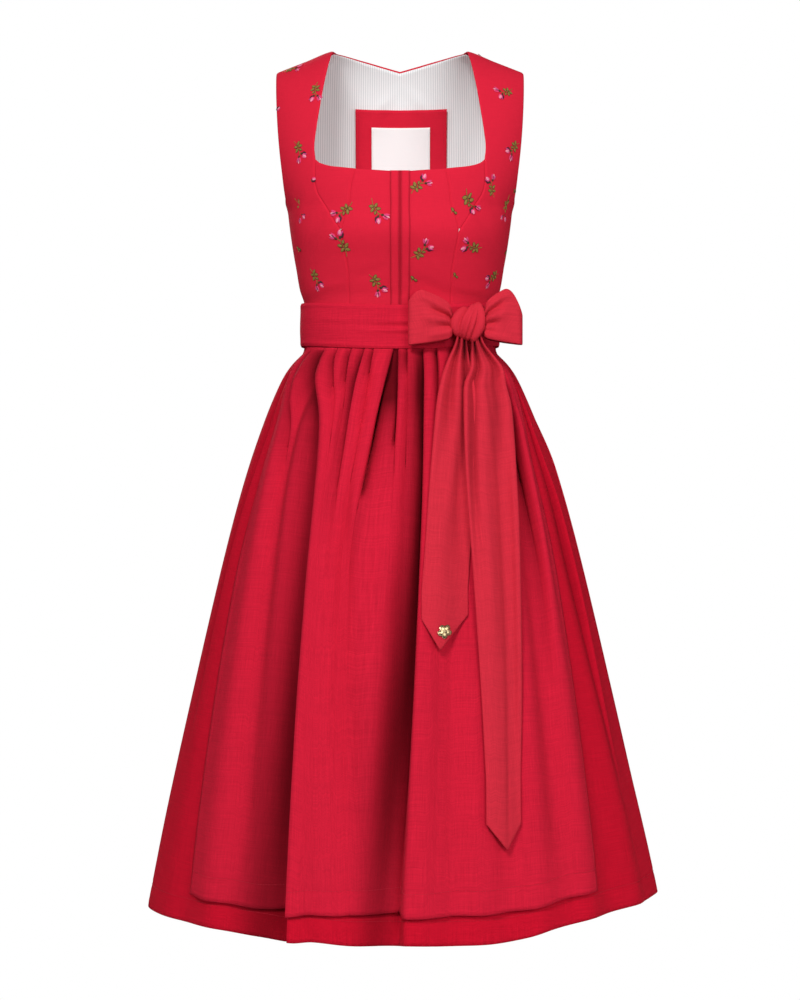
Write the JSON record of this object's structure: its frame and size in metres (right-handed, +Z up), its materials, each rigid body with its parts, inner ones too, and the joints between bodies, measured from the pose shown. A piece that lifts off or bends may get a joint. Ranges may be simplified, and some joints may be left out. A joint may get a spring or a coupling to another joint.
{
  "type": "dirndl with apron",
  "caption": "Sleeveless dirndl worn with an apron: square-necked princess-seamed bodice, full pleated midi skirt, sash tied in a bow at the side, hollow as if worn.",
  "frame": {"origin": "midway between the tops of the two shoulder straps, where the neck edge meets the shoulder seam", "axes": "+Z up, -Y to the front of the garment, +X to the viewer's right when it is seen from the front"},
  "size_m": [0.63, 0.5358, 1.064],
  "materials": {
    "bodice_cloth": "fine matt linen weave, embroidered",
    "skirt_linen": "slubbed linen, soft sheen",
    "apron_linen": "slubbed linen, soft sheen",
    "striped_lining": "fine woven stripe",
    "label_cloth": "plain satin weave",
    "gilt": "polished"
  },
  "bodies": {
    "root": {"bodice_centre_front_left": "bodice_cloth", "bodice_bust_insert_left": "bodice_cloth", "bodice_side_front_left": "bodice_cloth", "placket_left": "bodice_cloth", "bodice_centre_front_right": "bodice_cloth", "bodice_bust_insert_right": "bodice_cloth", "bodice_side_front_right": "bodice_cloth", "placket_right": "bodice_cloth", "bodice_centre_back": "bodice_cloth", "bodice_side_back_left": "bodice_cloth", "bodice_side_back_right": "bodice_cloth", "back_lining": "striped_lining", "neck_patch": "bodice_cloth", "neck_label": "label_cloth", "skirt_front": "skirt_linen", "skirt_back": "skirt_linen", "apron": "apron_linen", "sash_front": "apron_linen", "sash_back": "apron_linen", "bow_loop_left": "apron_linen", "bow_loop_right": "apron_linen", "bow_knot": "apron_linen", "bow_tail_short": "apron_linen", "bow_tail_long": "apron_linen", "tail_pendant": "gilt"}
  },
  "joints": []
}
